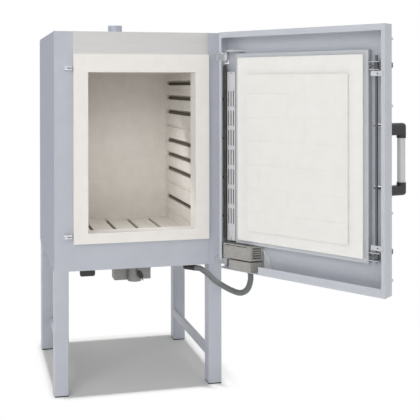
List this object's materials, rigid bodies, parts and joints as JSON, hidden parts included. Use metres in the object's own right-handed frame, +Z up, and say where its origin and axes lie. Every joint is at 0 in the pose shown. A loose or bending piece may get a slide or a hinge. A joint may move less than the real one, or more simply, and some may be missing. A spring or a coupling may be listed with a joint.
{
  "type": "front loading chamber kiln",
  "caption": "Front-loading electric chamber kiln on a leg stand, with a brick-plugged side-hinged door standing open, a turning latch handle, an exhaust stub and an air slider.",
  "frame": {"origin": "centre of the front left foot's sole, on the floor", "axes": "+Z up, +Y towards the back of the kiln, +X to the right as seen from the front"},
  "size_m": [1.2891, 1.381, 1.64],
  "materials": {
    "casing_paint": "satin grey powder coat",
    "post_paint": "satin light grey powder coat",
    "stand_paint": "satin grey powder coat",
    "brushed_fascia": "brushed stainless sheet",
    "zinc_sheet": "galvanised sheet",
    "foot_rubber": "matt",
    "hard_brick": "matt refractory",
    "light_brick": "matt porous refractory brick",
    "element_wire": "oxidised resistance wire on ceramic rod",
    "stub_steel": "plain stainless tube",
    "fitting_zinc": "zinc plated",
    "claw_black": "black oxide",
    "rod_steel": "dark drawn steel",
    "grip_black": "moulded black plastic",
    "tube_aluminium": "satin anodised",
    "door_paint": "satin light grey powder coat",
    "collar_paint": "satin light grey powder coat",
    "fibre_board": "matt white ceramic fibre",
    "plug_brick": "matt white lightweight brick",
    "hose_plastic": "ribbed grey conduit"
  },
  "bodies": {
    "kiln": {"side_left": "casing_paint", "side_right": "casing_paint", "roof_panel": "casing_paint", "back_panel": "casing_paint", "rear_cover": "casing_paint", "post_left": "post_paint", "post_right": "post_paint", "apron": "post_paint", "fascia": "brushed_fascia", "base_tray": "zinc_sheet", "leg_front_left": "stand_paint", "leg_front_right": "stand_paint", "leg_rear_left": "stand_paint", "leg_rear_right": "stand_paint", "rail_left": "stand_paint", "rail_right": "stand_paint", "feet": "foot_rubber", "frame_sill": "hard_brick", "frame_lintel": "hard_brick", "jamb_left": "hard_brick", "jamb_right": "hard_brick", "wall_left": "light_brick", "wall_right": "light_brick", "wall_back": "light_brick", "floor_bricks": "light_brick", "roof_bricks": "light_brick", "elements_left": "element_wire", "elements_right": "element_wire", "elements_floor": "element_wire", "flue_stub": "stub_steel", "catches": "fitting_zinc", "hinge_bracket_upper": "fitting_zinc", "hinge_bracket_lower": "fitting_zinc", "air_duct": "zinc_sheet", "hose_gland": "grip_black", "slider_guides": "zinc_sheet", "hose": "hose_plastic"},
    "door": {"door_pan": "door_paint", "door_collar": "collar_paint", "door_fibre": "fibre_board", "door_plug": "plug_brick", "wiring_cover": "zinc_sheet", "terminal_box_upper": "zinc_sheet", "terminal_box_lower": "zinc_sheet", "door_gland": "grip_black", "hinge_arm_upper": "fitting_zinc", "hinge_arm_lower": "fitting_zinc", "bearings": "fitting_zinc", "stay_bars": "fitting_zinc", "closure_knobs": "grip_black"},
    "latch": {"latch_rod": "rod_steel", "claws": "claw_black", "handle_bracket_upper": "grip_black", "handle_bracket_lower": "grip_black", "handle_tube": "tube_aluminium"},
    "air_slider": {"slider_plate": "zinc_sheet", "slider_grip": "grip_black"},
    "throttle": {"damper_lever": "rod_steel", "damper_knob": "grip_black"}
  },
  "joints": [
    {"name": "door_swing", "type": "hinge", "parent": "kiln", "child": "door", "pos_m": [0.722, -0.087, 1], "axis": [0, 0, 1], "range_deg": [-126.5, 23.5], "deforming": ["hose"]},
    {"name": "latch_turn", "type": "hinge", "parent": "door", "child": "latch", "pos_m": [1.12298, -0.6642, 1.052], "axis": [0, 0, -1], "range_deg": [-30, 0]},
    {"name": "air_slide", "type": "slide", "parent": "kiln", "child": "air_slider", "axis": [0, -1, 0], "range_m": [0, 0.05]},
    {"name": "throttle_turn", "type": "hinge", "parent": "kiln", "child": "throttle", "pos_m": [0.365, 0.075, 0.484], "axis": [0, -1, 0], "range_deg": [-40, 40]}
  ]
}
